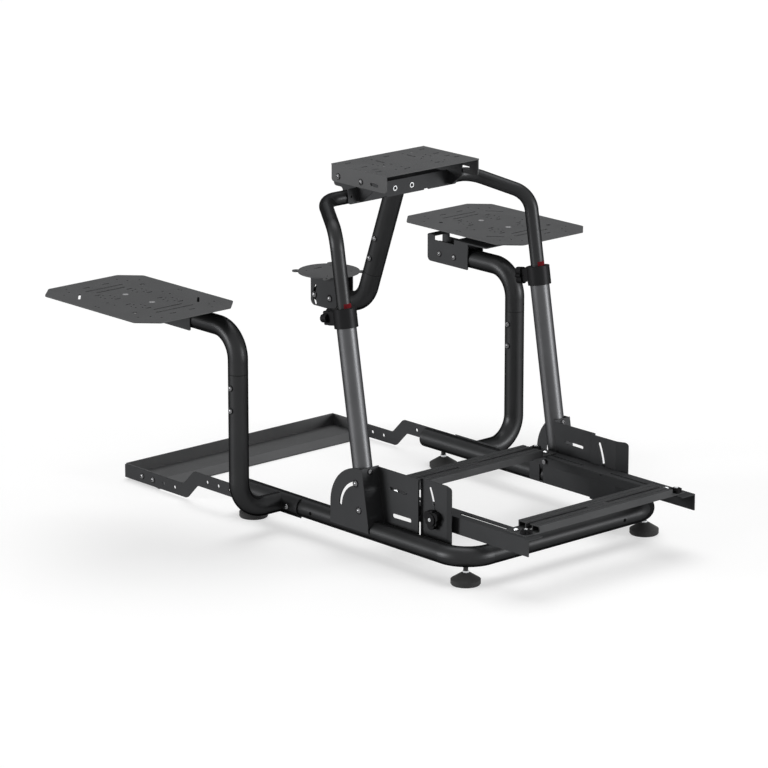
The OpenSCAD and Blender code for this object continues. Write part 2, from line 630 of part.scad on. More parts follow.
// Crossbar clamp: rear strap, two cheeks that hook over the crossbar, and a tie sheet
clamp_gap = 0.3;
clamp_half = yoke_w / 2 - sheet_t;
strap_half = 183;
strap_y = cross_y - hoop_r - sheet_t - clamp_gap;
strap_low = cross_z - 15;
strap_high = yoke_z - yoke_flange - 1;
hook_front = 68;
hook_rear = 74;
module crossbar_clamp() color("#2c2e31") difference() {
  union() {
    translate([0, strap_y + sheet_t, 0]) rotate([90, 0, 0]) linear_extrude(sheet_t) polygon(rounded([
      [-strap_half, strap_low, 10], [strap_half, strap_low, 10], [strap_half, strap_high, 4], [-strap_half, strap_high, 4]
    ]));
    for (s = [-1, 1]) translate([s * (clamp_half - sheet_t / 2 - clamp_gap) - sheet_t / 2, 0, 0]) sheet_yz(sheet_t)
      polygon(rounded([
        [cross_y + hook_front, cross_z + 16, 8], [cross_y + hook_front, yoke_z - 12, 6],
        [cross_y - hook_rear, yoke_z - 12, 6], [cross_y - hook_rear, cross_z + 20, 8],
        [cross_y - 36, cross_z - 10, 8], [cross_y + 27, cross_z - 10, 4], [cross_y + 38, cross_z + 16, 8]
      ]));
    translate([1 - clamp_half, strap_y + 1, cross_z + hoop_r + clamp_gap]) cube([2 * clamp_half - 2, 60, sheet_t]);
  }
  translate([-strap_half - 1, cross_y, cross_z]) rotate([0, 90, 0])
    cylinder(r = hoop_r + 0.05, h = 2 * strap_half + 2);
  for (s = [-1, 1], x = [28, 172]) translate([s * x, strap_y - 1, cross_z + 4]) rotate([-90, 0, 0])
    cylinder(r = x < 100 ? 5 : 3, h = sheet_t + 2);
  for (y = yoke_bolt_y) translate([-yoke_w, y, yoke_bolt_z]) rotate([0, 90, 0]) cylinder(r = bolt_r, h = 2 * yoke_w);
  for (s = [-1, 1]) translate([s * 70, strap_y - 1, strap_low - 6]) cube([14, sheet_t + 2, 9]);
}

// Yoke plate: top sheet with two slotted flanges and two mirrored groups of holes
yoke_rear_y = cross_y - 130;
yoke_bolt_y = [yoke_rear_y + 94, yoke_rear_y + 178];
yoke_bolt_z = yoke_z - 29;
module yoke_plate() color("#5a5c5f") difference() {
  union() {
    translate([0, 0, yoke_z - sheet_t]) linear_extrude(sheet_t) difference() {
      translate([-yoke_w / 2, yoke_rear_y]) square([yoke_w, yoke_len]);
      for (s = [-1, 1]) yoke_half_pattern(s);
      translate([0, cross_y + 43]) slot2d(22, hole_d);
    }
    for (s = [-1, 1]) translate([s * (yoke_w - sheet_t) / 2 - sheet_t / 2, 0, 0]) sheet_yz(sheet_t) polygon(rounded([
      [yoke_rear_y + 1, yoke_z - yoke_flange, 8], [yoke_rear_y + yoke_len - 1, yoke_z - yoke_flange, 8],
      [yoke_rear_y + yoke_len - 1, yoke_z - 1, 2], [yoke_rear_y + 1, yoke_z - 1, 2]
    ]));
  }
  for (y = yoke_bolt_y) translate([-yoke_w, y, yoke_bolt_z]) rotate([0, 90, 0]) cylinder(r = bolt_r, h = 2 * yoke_w);
  translate([-yoke_w, yoke_rear_y + 45, yoke_bolt_z]) sheet_yz(2 * yoke_w) slot2d(30, 2 * bolt_r);
}
// Holes and slots of one side of the yoke plate, s = 1 or -1
module yoke_half_pattern(s) {
  for (p = [[124, 47], [120, -10], [120, -50], [130, -74], [50, -91]])
    translate([s * p.x, cross_y + p.y]) slot2d(20, hole_d);
  for (p = [[88, -6], [88, -24], [66, -21], [52, 39], [81, -83], [63, -97], [50, -32], [50, -69]])
    translate([s * p.x, cross_y + p.y]) circle(d = hole_d);
  for (y = [37, -38]) translate([s * 80, cross_y + y]) circle(r = bolt_r);
  translate([s * 52, cross_y + 7]) rotate(90) slot2d(34, hole_d);
}

// Stick arm: upper tube coped over the crossbar, lower tube with the forward bend
stick_top_y = cross_y + 8;
stick_top_z = cross_z - 10;
stick_joint_z = 597;
stick_stub = 168;
function stick_axis(z) = [0, stick_top_y + (cross_z - z) * tan(stick_lean), z];
module upper_stick_arm() color("#303235") difference() {
  straight_tube(stick_axis(stick_top_z), stick_axis(stick_joint_z), tube_d);
  translate([-tube_d, cross_y, cross_z]) rotate([0, 90, 0]) cylinder(r = hoop_r, h = 2 * tube_d);
}
stick_end_y = stick_axis(stick_z).y + stick_stub;
module lower_stick_arm() color("#303235") difference() {
  union() {
    tube_run([stick_axis(stick_joint_z), stick_axis(stick_z), [0, stick_end_y, stick_z]], bend_r, tube_d);
    translate([0, stick_end_y, stick_z]) rotate([90, 0, 0]) cylinder(r = tube_r - tube_wall, h = 3);
  }
  for (y = [stick_pivot_y, stick_lock_y]) translate([-50, y, stick_z]) rotate([0, 90, 0]) cylinder(r = bolt_r, h = 100);
}

// Stick bolts: pivot and lock, fixed in the stub, with heads and nuts outside the channel
module stick_bolts() color("#b8babd") for (y = [stick_pivot_y, stick_lock_y]) translate([0, y, stick_z]) rotate([0, 90, 0]) {
  face = tube_r + 0.5 + sheet_t + 0.4;
  translate([0, 0, -face - 4]) cylinder(r = bolt_r - 0.02, h = 2 * face + 8);
  translate([0, 0, face]) cylinder(r = 6.5, h = 6, $fn = 6);
  translate([0, 0, -face]) rotate([180, 0, 0]) button_head();
}

// Stick bracket: channel over the stub that tilts on its rear bolt
stick_pivot_y = stick_axis(stick_z).y + 100;
stick_lock_y = stick_pivot_y + 59;
module stick_bracket() color("#2c2e31") {
  top = stick_plate_z - sheet_t;
  low = stick_z - tube_r - 3;
  y0 = stick_pivot_y - 26;
  y1 = stick_lock_y + 14;
  inner = tube_r + 0.5;
  difference() {
    union() {
      for (s = [-1, 1]) translate([s * (inner + sheet_t / 2) - sheet_t / 2, 0, 0]) sheet_yz(sheet_t)
        translate([y0, low]) rounded_low(y1 - y0, top - low, 14);
      translate([-inner - sheet_t, y0, top - sheet_t]) cube([2 * (inner + sheet_t), y1 - y0, sheet_t]);
    }
    translate([-50, stick_pivot_y, stick_z]) rotate([0, 90, 0]) cylinder(r = bolt_r + 0.1, h = 100);
    for (s = [-1, 1]) translate([s * (inner + sheet_t / 2) - sheet_t, stick_pivot_y, stick_z]) sheet_yz(2 * sheet_t)
      ring_slot(stick_lock_y - stick_pivot_y, -21, 22, 2 * bolt_r + 2 * slot_gap);
  }
}
module rounded_low(w, h, r) {
  translate([0, r]) square([w, h - r]);
  translate([r, 0]) square([w - 2 * r, r + eps]);
  for (x = [r, w - r]) translate([x, r]) circle(r = r);
}

// Stick plate: disc with four ears, bolted on the bracket
module stick_plate() color("#5a5c5f") {
  cy = stick_pivot_y + 35;
  translate([0, cy, stick_plate_z - sheet_t]) difference() {
    union() {
      cylinder(d = stick_d, h = sheet_t, $fn = 96);
      for (a = [45:90:315]) rotate(a) translate([stick_d / 2 + 5, 0, 0]) cylinder(r = 10, h = sheet_t);
    }
    for (a = [45:90:315]) rotate(a) {
      translate([stick_d / 2 + 5, 0, -1]) cylinder(r = 3, h = sheet_t + 2);
      translate([stick_d / 2 - 22, 0, -1]) cylinder(r = 3, h = sheet_t + 2);
    }
    for (s = [-1, 1]) translate([0, s * 42, -1]) linear_extrude(sheet_t + 2) slot2d(26, 6);
  }
}

// Seat rail: angle profile with a slotted flange turned inward
module seat_rail() {
  len_y = seat_front_y - seat_rear_y;
  flange_x = seat_x - seat_flange;
  knob = pivot_y - seat_arc_r * cos(seat_knob_turn);
  difference() {
    union() {
      translate([seat_x - sheet_t, seat_rear_y, seat_z - seat_web]) cube([sheet_t, len_y, seat_web]);
      translate([flange_x, seat_rear_y, seat_z - sheet_t]) cube([seat_flange, len_y, sheet_t]);
    }
    translate([seat_x - 20, pivot_y, pivot_z]) rotate([0, 90, 0]) cylinder(r = bolt_r + 0.1, h = 40);
    translate([seat_x - 20, knob, pivot_z + seat_arc_r * sin(seat_knob_turn)]) rotate([0, 90, 0])
      cylinder(r = bolt_r, h = 40);
    for (y = [seat_rear_y + 145, seat_front_y - 115]) translate([slot_x, y, seat_z - sheet_t - 1])
      linear_extrude(sheet_t + 2) rotate(90) slot2d(y < -400 ? 240 : 190, 2 * bolt_r + 2 * slot_gap);
  }
}
slot_x = seat_x - 28;
module left_seat_rail() color("#3a3c3f") mirror([1, 0, 0]) seat_rail();
module right_seat_rail() color("#3a3c3f") seat_rail();

// Seat knobs: their bolts run from the seat rails through the pads' arc slots
module seat_knobs() color("#161718") both_sides()
  translate([pad_x + sheet_t + 0.5, pivot_y - seat_arc_r * cos(seat_knob_turn), pivot_z + seat_arc_r * sin(seat_knob_turn)])
    rotate([0, 90, 0]) lobed_knob(seat_knob_d, 18, sheet_t * 3 + 8);

// Cross rail: ribbed channel with notched corners and end feet on the seat rails
front_cross_y = -202;
rear_cross_y = -655;
cross_knob_d = 32;
cross_knob_h = 10;
module cross_rail(centre_y, knob_side) {
  hw = cross_rail_w / 2;
  ribs = 5;
  inner_x = seat_x - seat_flange - 10;
  outer_x = seat_x - 12;
  difference() {
    union() {
      translate([-outer_x, centre_y - hw, seat_z]) rotate([90, 0, 90]) linear_extrude(2 * outer_x)
        cross_profile();
      for (s = [-1, 1]) translate([s * (inner_x + outer_x) / 2 - (outer_x - inner_x) / 2, centre_y - hw, seat_z])
        cube([outer_x - inner_x, cross_rail_w, sheet_t]);
    }
    for (s = [-1, 1]) translate([s * (inner_x + 50) - 50, centre_y - hw - 1, seat_z + sheet_t])
      cube([100, cross_rail_w + 2, 50]);
    for (s = [-1, 1]) {
      translate([s * 130, centre_y, seat_z - 1]) linear_extrude(40) slot2d(198, 8);
      translate([s * slot_x, centre_y - knob_side * 14, seat_z - 1]) cylinder(r = bolt_r, h = 40);
      translate([s * slot_x, centre_y + knob_side * 20, seat_z - 1]) cylinder(r = bolt_r, h = 40);
    }
  }
}
// Hollow profile of three cells with a ribbed top
module cross_profile() {
  w = cross_rail_w;
  h = cross_rail_h;
  cell = (w - 4 * sheet_t) / 3;
  difference() {
    square([w, h]);
    for (i = [0:2]) translate([sheet_t + i * (cell + sheet_t), sheet_t]) square([cell, h - 2 * sheet_t]);
    for (i = [1:4]) translate([i * w / 5 - 2.5, h - 1.2]) square([5, 3]);
  }
}
module front_cross_rail() color("#3b3d40") cross_rail(front_cross_y, 1);
module rear_cross_rail() color("#3b3d40") cross_rail(rear_cross_y, -1);
module cross_knobs(centre_y, knob_side) both_sides()
  translate([slot_x, centre_y + knob_side * 20, seat_z + sheet_t]) lobed_knob(cross_knob_d, cross_knob_h, 3 * sheet_t);
module front_cross_knobs() color("#161718") cross_knobs(front_cross_y, 1);
module rear_cross_knobs() color("#161718") cross_knobs(rear_cross_y, -1);

left_base_rail();
right_base_rail();
rear_base_tube();
left_front_foot();
right_front_foot();
left_rear_foot();
right_rear_foot();
pedal_tray();
left_tray_strip();
right_tray_strip();
left_lower_arm();
right_lower_arm();
left_upper_arm();
right_upper_arm();
left_plate_bracket();
right_plate_bracket();
left_side_plate();
right_side_plate();
left_pivot_bracket();
right_pivot_bracket();
pivot_bolts();
left_upright();
right_upright();
left_collar();
right_collar();
left_collar_knob();
right_collar_knob();
lock_bolts();
left_hoop_leg();
right_hoop_leg();
hoop_crossbar();
crossbar_clamp();
yoke_plate();
upper_stick_arm();
lower_stick_arm();
stick_bolts();
stick_bracket();
stick_plate();
left_seat_rail();
right_seat_rail();
seat_knobs();
front_cross_rail();
rear_cross_rail();
front_cross_knobs();
rear_cross_knobs();
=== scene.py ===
"""Studio scene of a flight simulator cockpit.

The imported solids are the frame. This file gives them their finishes, adds the
fasteners, seams and stop marks, and sets the floor, the light and the camera.
Lengths are in metres: +X is the sitter's right, +Y is forward and +Z is up.
"""

from __future__ import annotations

import json
import logging
import math
from collections.abc import Iterable, Sequence
from dataclasses import dataclass, field
from enum import Enum

import bpy
from mathutils import Matrix, Vector


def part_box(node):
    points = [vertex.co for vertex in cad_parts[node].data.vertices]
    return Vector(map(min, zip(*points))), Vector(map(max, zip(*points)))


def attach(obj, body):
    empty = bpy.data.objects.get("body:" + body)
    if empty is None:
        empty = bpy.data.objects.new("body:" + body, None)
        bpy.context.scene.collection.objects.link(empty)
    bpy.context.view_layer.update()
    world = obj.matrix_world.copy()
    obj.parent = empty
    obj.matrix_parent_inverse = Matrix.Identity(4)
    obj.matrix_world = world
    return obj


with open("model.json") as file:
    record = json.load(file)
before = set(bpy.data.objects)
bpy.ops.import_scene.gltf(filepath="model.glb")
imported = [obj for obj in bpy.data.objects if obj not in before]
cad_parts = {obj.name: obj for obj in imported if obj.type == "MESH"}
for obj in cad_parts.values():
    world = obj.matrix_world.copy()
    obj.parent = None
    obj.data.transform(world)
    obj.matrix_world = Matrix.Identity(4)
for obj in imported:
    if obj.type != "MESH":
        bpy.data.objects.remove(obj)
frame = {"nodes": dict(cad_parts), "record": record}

LOG = logging.getLogger("cockpit")
MM = 0.001

OUT = Vector((1.0, 0.0, 0.0)).freeze()
REAR = Vector((0.0, -1.0, 0.0)).freeze()
UP = Vector((0.0, 0.0, 1.0)).freeze()

# Steps round the turned forms
HEXAGON = 6
SMALL_ROUND = 24
HEAD_ROUND = 28
WASHER_ROUND = 36
TUBE_ROUND = 48

NOISE_MIDDLE = 0.5


def grey(level: float) -> tuple[float, float, float, float]:
    """Makes an opaque grey."""
    return (level, level, level, 1.0)


class Wire:
    """A number that runs through a shader and takes Python's operators."""

    def __init__(self, graph: Graph, socket: bpy.types.NodeSocket) -> None:
        """Keeps the graph that the socket belongs to.

        Args:
            graph: The graph that new Math nodes go into.
            socket: The output that carries the number.
        """
        self.graph = graph
        self.socket = socket

    def _math(self, operation: str, first: Wire | float, second: Wire | float) -> Wire:
        """Adds one Math node.

        Args:
            operation: The Math node's operation.
            first: The first number or wire.
            second: The second number or wire.

        Returns:
            The node's result.
        """
        return self.graph.out("ShaderNodeMath", {"operation": operation}, {0: first, 1: second})

    def __add__(self, other: Wire | float) -> Wire:
        """Adds a number or a wire."""
        return self._math("ADD", self, other)

    __radd__ = __add__

    def __mul__(self, other: Wire | float) -> Wire:
        """Multiplies by a number or a wire."""
        return self._math("MULTIPLY", self, other)

    __rmul__ = __mul__

    def __sub__(self, other: Wire | float) -> Wire:
        """Takes away a number or a wire."""
        return self._math("SUBTRACT", self, other)

    def __rsub__(self, other: float) -> Wire:
        """Is taken away from a number."""
        return self._math("SUBTRACT", other, self)


class Graph:
    """The nodes of one material or of the world."""

    def __init__(self, tree: bpy.types.NodeTree) -> None:
        """Empties the node tree.

        Args:
            tree: The tree to build in.
        """
        self.tree = tree
        self.tree.nodes.clear()

    def node(
        self,
        kind: str,
        settings: dict[str, object] | None = None,
        sockets: dict[str | int, object] | None = None,
    ) -> bpy.types.Node:
        """Adds one node.

        Args:
            kind: The node's Blender type.
            settings: Attributes of the node, which are set first.
            sockets: Values, wires or sockets by input name or number.

        Returns:
            The new node.
        """
        made = self.tree.nodes.new(kind)
        for name, value in (settings or {}).items():
            setattr(made, name, value)
        for name, value in (sockets or {}).items():
            source = value.socket if isinstance(value, Wire) else value
            if isinstance(source, bpy.types.NodeSocket):
                self.tree.links.new(source, made.inputs[name])
            else:
                made.inputs[name].default_value = source
        return made

    def out(
        self,
        kind: str,
        settings: dict[str, object] | None = None,
        sockets: dict[str | int, object] | None = None,
        name: str | int = 0,
    ) -> Wire:
        """Adds one node and hands back one of its outputs.

        Args:
            kind: The node's Blender type.
            settings: Attributes of the node, which are set first.
            sockets: Values, wires or sockets by input name or number.
            name: The output's name or number.

        Returns:
            The chosen output.
        """
        return Wire(self, self.node(kind, settings, sockets).outputs[name])


@dataclass(frozen=True)
class Finish:
    """A surface with a fine grain, slow clouding and a little drift in its gloss.

    Attributes:
        title: The material's name.
        colour: Linear base colour.
        roughness: Middle roughness.
        metallic: 1 for bare metal; the satin coats hold some metal flake, which keeps
            their rims dark.
        rim: Grey of the flake's own rim.
        specular: The shader's specular level.
        grain_per_m: Grains in a metre.
        grain_depth_mm: Height of the grain.
        cloud_per_m: Clouds in a metre.
        clouding: Share by which the colour varies.
        gloss_drift: Amount by which the roughness varies.
        stretch: How far the grain is drawn out along X, as in an extrusion.
        edge_mm: Radius by which sharp edges look eased.
    """

    title: str
    colour: tuple[float, float, float]
    roughness: float
    metallic: float = 0.0
    rim: float = 1.0
    specular: float = 0.0
    grain_per_m: float = 900.0
    grain_depth_mm: float = 0.05
    cloud_per_m: float = 14.0
    clouding: float = 0.12
    gloss_drift: float = 0.06
    stretch: float = 1.0
    edge_mm: float = 0.8

    def material(self) -> bpy.types.Material:
        """Builds the material, or hands back the one already built.

        Returns:
            The material with this finish.
        """
        if self.title in bpy.data.materials:
            return bpy.data.materials[self.title]
        made = bpy.data.materials.new(self.title)
        made.use_nodes = True
        graph = Graph(made.node_tree)
        place = graph.out("ShaderNodeTexCoord", name="Object")
        drawn = graph.out(
            "ShaderNodeMapping", sockets={"Vector": place, "Scale": (1.0 / self.stretch, 1.0, 1.0)}
        )
        grain = graph.out(
            "ShaderNodeTexNoise", sockets={"Vector": drawn, "Scale": self.grain_per_m, "Detail": 2.0}
        )
        cloud = graph.out(
            "ShaderNodeTexNoise", sockets={"Vector": place, "Scale": self.cloud_per_m, "Detail": 3.0}
        )
        # Noise runs from 0 to 1, so twice the share is the whole of it and 1.5 is three quarters.
        cloud_swing, grain_swing = 2.0 * self.clouding, 1.5 * self.clouding
        level = 1.0 + (cloud - NOISE_MIDDLE) * cloud_swing + (grain - NOISE_MIDDLE) * grain_swing
        tint = graph.out(
            "ShaderNodeVectorMath", {"operation": "SCALE"}, {0: self.colour, "Scale": level}, "Vector"
        )
        eased = graph.out("ShaderNodeBevel", {"samples": 4}, {"Radius": self.edge_mm * MM}, "Normal")
        bump = graph.out(
            "ShaderNodeBump",
            sockets={
                "Height": grain,
                "Strength": 1.0,
                "Distance": self.grain_depth_mm * MM,
                "Normal": eased,
            },
            name="Normal",
        )
        shader = graph.node(
            "ShaderNodeBsdfPrincipled",
            sockets={
                "Base Color": tint,
                "Roughness": (cloud - NOISE_MIDDLE) * (2.0 * self.gloss_drift) + self.roughness,
                "Metallic": self.metallic,
                "Specular IOR Level": self.specular,
                "Specular Tint": grey(self.rim),
                "Normal": bump,
            },
        )
        graph.node("ShaderNodeOutputMaterial", sockets={"Surface": shader.outputs[0]})
        return made


class Coat(Enum):
    """The finishes that the cockpit is made in."""

    FRAME = Finish(
        "frame_powder_coat", (0.036, 0.0365, 0.0375), roughness=0.40, metallic=0.75, rim=0.1
    )
    BRACKET = Finish(
        "bracket_powder_coat",
        (0.054, 0.055, 0.057),
        roughness=0.48,
        metallic=0.25,
        rim=0.2,
        clouding=0.08,
    )
    PLATE = Finish(
        "plate_powder_coat",
        (0.108, 0.109, 0.111),
        roughness=0.5,
        metallic=0.2,
        rim=0.2,
        clouding=0.06,
    )
    UPRIGHT = Finish(
        "upright_satin",
        (0.082, 0.083, 0.086),
        roughness=0.42,
        metallic=1.0,
        rim=0.25,
        grain_depth_mm=0.03,
    )
    RAIL = Finish(
        "rail_anodised",
        (0.080, 0.081, 0.083),
        roughness=0.4,
        metallic=0.4,
        rim=0.2,
        stretch=30.0,
        grain_depth_mm=0.03,
    )
    PLASTIC = Finish(
        "moulded_plastic",
        (0.022, 0.022, 0.023),
        roughness=0.4,
        metallic=0.4,
        rim=0.2,
        grain_per_m=600.0,
    )
    RUBBER = Finish(
        "foot_rubber",
        (0.026, 0.026, 0.026),
        roughness=0.5,
        metallic=0.3,
        rim=0.2,
        grain_per_m=500.0,
    )
    STEEL = Finish(
        "zinc_steel",
        (0.60, 0.61, 0.62),
        roughness=0.28,
        metallic=1.0,
        grain_depth_mm=0.01,
        clouding=0.05,
        edge_mm=0.3,
    )
    DULL_STEEL = Finish(
        "dull_zinc",
        (0.25, 0.25, 0.255),
        roughness=0.5,
        metallic=0.3,
        grain_depth_mm=0.01,
        edge_mm=0.3,
    )
    DARK_STEEL = Finish(
        "black_zinc_steel",
        (0.17, 0.17, 0.175),
        roughness=0.22,
        metallic=1.0,
        grain_depth_mm=0.01,
        edge_mm=0.3,
    )
    # This near-black paints shade in the crevices of tube joints and the bores of the bushes, and darkens
    # the rails' black plugs.
    PAINTED_SHADE = Finish("deep_shadow_black", (0.006, 0.006, 0.006), roughness=0.7)
    RED = Finish(
        "stop_mark_red", (0.15, 0.014, 0.018), roughness=0.5, clouding=0.05, grain_depth_mm=0.01
    )


SLOT_COATS = {
    "frame_black": Coat.FRAME,
    "bracket_black": Coat.BRACKET,
    "plate_grey": Coat.PLATE,
    "upright_grey": Coat.UPRIGHT,
    "rail_black": Coat.RAIL,
    "black_plastic": Coat.PLASTIC,
    "foot_rubber": Coat.RUBBER,
    "bolt_steel": Coat.DARK_STEEL,
}


def facing(point: Vector, axis: Vector) -> Matrix:
    """Makes the placement whose local Z points along an axis.

    Args:
        point: Where the placement's origin goes.
        axis: The direction of its local Z.

    Returns:
        The placement.
    """
    turn = axis.normalized().to_track_quat("Z", "Y").to_matrix().to_4x4()
    return Matrix.Translation(point) @ turn


class Shape:
    """Faces gathered for one piece of the scene."""

    def __init__(self) -> None:
        """Starts with no faces."""
        self.points: list[Vector] = []
        self.faces: list[tuple[int, ...]] = []

    def lathe(
        self,
        profile: Sequence[tuple[float, float]],
        place: Matrix,
        sides: int,
        arc: float = math.tau,
        start: float = 0.0,
    ) -> None:
        """Turns a profile about local Z.

        Args:
            profile: Pairs of radius and height, from one end to the other.
            place: Where the turned form goes.
            sides: Steps round the axis.
            arc: Angle turned through; less than a full turn leaves an open strip.
            start: Angle at which the turn starts.
        """
        whole = arc >= math.tau
        base = len(self.points)
        columns = sides if whole else sides + 1
        for i in range(columns):
            angle = start + arc * i / sides
            for radius, height in profile:
                local = Vector((radius * math.cos(angle), radius * math.sin(angle), height))
                self.points.append(place @ local)
        rows = len(profile)
        for i in range(sides):
            near, far = base + i * rows, base + (i + 1) % columns * rows
            for j in range(rows - 1):
                self.faces.append((near + j, far + j, far + j + 1, near + j + 1))

    def seam(self, tube_r: float, place: Matrix, height: float = 1.2 * MM, rise: float = 0.15 * MM) -> None:
        """Lays the fine line that shows where two tubes meet.

        Args:
            tube_r: Outside radius of the tubes.
            place: The joint's middle, with local Z along the tubes.
            height: Height of the line.
            rise: How far its middle stands off the tubes.
        """
        line = [(tube_r, -height / 2), (tube_r + rise, 0.0), (tube_r, height / 2)]
        self.lathe(line, place, TUBE_ROUND)

    def piece(self, name: str, coat: Coat, body: str, bend_deg: float = 40.0) -> None:
        """Turns the gathered faces into one object that rides on a body.

        Args:
            name: The piece's name.
            coat: Its finish.
            body: The CAD body that it moves with.
            bend_deg: Edges that bend less than this are shaded smooth.
        """
        mesh = bpy.data.meshes.new(name)
        mesh.from_pydata(self.points, [], self.faces)
        mesh.validate()
        mesh.shade_smooth()
        mesh.set_sharp_from_angle(angle=math.radians(bend_deg))
        mesh.materials.append(coat.value.material())
        made = bpy.data.objects.new(name, mesh)
        bpy.context.scene.collection.objects.link(made)
        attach(made, body)
        LOG.info("%s: %d faces, rides on %s", name, len(mesh.polygons), body)


@dataclass(frozen=True)
class Place:
    """A spot for a fastener.

    Attributes:
        point: The point on the surface.
        axis: The way the fastener's head faces.
    """

    point: Vector
    axis: Vector


def mirrored(places: Iterable[Place]) -> list[Place]:
    """Adds each place's mirror image on the other side of the rig.

    Args:
        places: Places on one side.

    Returns:
        The places of both sides.
    """
    flip = Matrix.Diagonal((-1.0, 1.0, 1.0))
    both = list(places)
    return both + [Place(flip @ p.point, flip @ p.axis) for p in both]


def across(middle: Vector, reach: float) -> list[Place]:
    """Finds the two seats of a bolt that goes across a tube or a channel.

    Args:
        middle: The bolt's middle.
        reach: Distance of each seat from it, along X.

    Returns:
        The left seat and the right one.
    """
    return [Place(middle + OUT * (side * reach), OUT * side) for side in (-1, 1)]


def arm_axis() -> tuple[float, float, float]:
    """Reads the upright axis of the right armrest's tubes from the solids.

    Returns:
        The axis's X and Y, and the tubes' outside radius.
    """
    rail_low, rail_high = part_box("right_base_rail")
    arm_low, arm_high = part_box("right_lower_arm")
    tube_r = (rail_high[2] - rail_low[2]) / 2
    return arm_high[0] - tube_r, (arm_low[1] + arm_high[1]) / 2, tube_r


@dataclass(frozen=True)
class LegLine:
    """The leaning axis that the right upright, its collar and its hoop leg share.

    Attributes:
        pivot: The pivot bolt's place on the axis.
        lean_deg: Forward lean.
    """

    pivot: tuple[float, float, float] = (325 * MM, -192 * MM, 118.5 * MM)
    lean_deg: float = 9.7

    @property
    def lean(self) -> float:
        """Gives the lean in radians."""
        return math.radians(self.lean_deg)

    @property
    def along(self) -> Vector:
        """Gives the direction up the axis."""
        return Vector((0.0, math.sin(self.lean), math.cos(self.lean)))

    @property
    def ahead(self) -> Vector:
        """Gives the direction square to the axis, towards the front."""
        return Vector((0.0, math.cos(self.lean), -math.sin(self.lean)))

    def at(self, reach: float) -> Vector:
        """Finds the point of the axis at a distance from the pivot."""
        return Vector(self.pivot) + self.along * reach


LEG = LegLine()

# The crossbar's place fore and aft, and its height.
CROSSBAR = (58 * MM, 830 * MM)


@dataclass
class ButtonBolts:
    """Domed bolts on black washers, with a round socket.

    Attributes:
        head_r: Radius of the dome.
        head_h: Height of the dome.
        socket_r: Radius of the socket.
        washer_r: Radius of the washer; 0 leaves it out.
        washer_t: Thickness of the washer.
        coat: Finish of the head.
        crown_steps: Steps of the dome's curve.
        crown_drop: How far the socket's edge lies under the dome's top; 0 leaves it there.
        socket_clear: Least radius of the dome's steps, in socket radii.
        socket_floor: Height of the socket's floor, as a share of its edge's.
    """

    head_r: float = 6.4 * MM
    head_h: float = 3.6 * MM
    socket_r: float = 2.3 * MM
    washer_r: float = 8.0 * MM
    washer_t: float = 1.2 * MM
    coat: Coat = Coat.DARK_STEEL
    crown_steps: int = 6
    crown_drop: float = 0.4
    socket_clear: float = 1.15
    socket_floor: float = 0.35

    def dome(self) -> list[tuple[float, float]]:
        """Works out the head's profile, from its rim to the socket's floor.

        Returns:
            Pairs of radius and height.
        """
        angles = [math.pi / 2 * i / self.crown_steps for i in range(self.crown_steps)]
        crown = [(self.head_r * math.cos(a), self.head_h * math.sin(a)) for a in angles]
        kept = [p for p in crown if p[0] > self.socket_r * self.socket_clear]
        edge_angle = self.crown_drop * math.asin(1.0 - self.socket_r / self.head_r)
        edge = self.head_h * math.cos(edge_angle)
        depth = edge * self.socket_floor
        return [*kept, (self.socket_r, edge), (self.socket_r, depth), (0.0, depth)]

    def fit(self, name: str, places: Sequence[Place], body: str) -> None:
        """Builds the bolts and their washers as two pieces.

        Args:
            name: Name of the bolts; the washers' name is made from it.
            places: Where the bolts go.
            body: The CAD body that they move with.
        """
        heads, washers = Shape(), Shape()
        ring = [(0.0, 0.0), (self.washer_r, 0.0), (self.washer_r, self.washer_t), (0.0, self.washer_t)]
        for spot in places:
            seat = facing(spot.point, spot.axis)
            if self.washer_r:
                washers.lathe(ring, seat, HEAD_ROUND)
            top = seat @ Matrix.Translation((0.0, 0.0, self.washer_t))
            heads.lathe(self.dome(), top, HEAD_ROUND)
        heads.piece(name, self.coat, body)
        if self.washer_r:
            washers.piece(f"{name}_washers", Coat.PLASTIC, body)


def flat_heads(head_r: float, head_h: float, socket_r: float) -> ButtonBolts:
    """Chooses dull bolts that lie flat on a plate, with no washer.

    Args:
        head_r: Radius of the head.
        head_h: Height of the head.
        socket_r: Radius of the socket.

    Returns:
        The bolts, ready to be fitted.
    """
    return ButtonBolts(head_r, head_h, socket_r, washer_r=0.0, washer_t=0.0, coat=Coat.DULL_STEEL)


def black_washers(name: str, places: Sequence[Place], body: str) -> None:
    """Lays black washers round the solids' own bolt heads.

    Args:
        name: The piece's name.
        places: Seats of the bolts.
        body: The CAD body that they move with.
    """
    inner, outer, thick, edge = 7.1 * MM, 9.6 * MM, 1.35 * MM, 0.4 * MM
    ring = [(inner, thick), (outer - edge, thick), (outer, thick - edge), (outer, 0.0)]
    washers = Shape()
    for spot in places:
        washers.lathe(ring, facing(spot.point, spot.axis), WASHER_ROUND)
    washers.piece(name, Coat.PLASTIC, body)


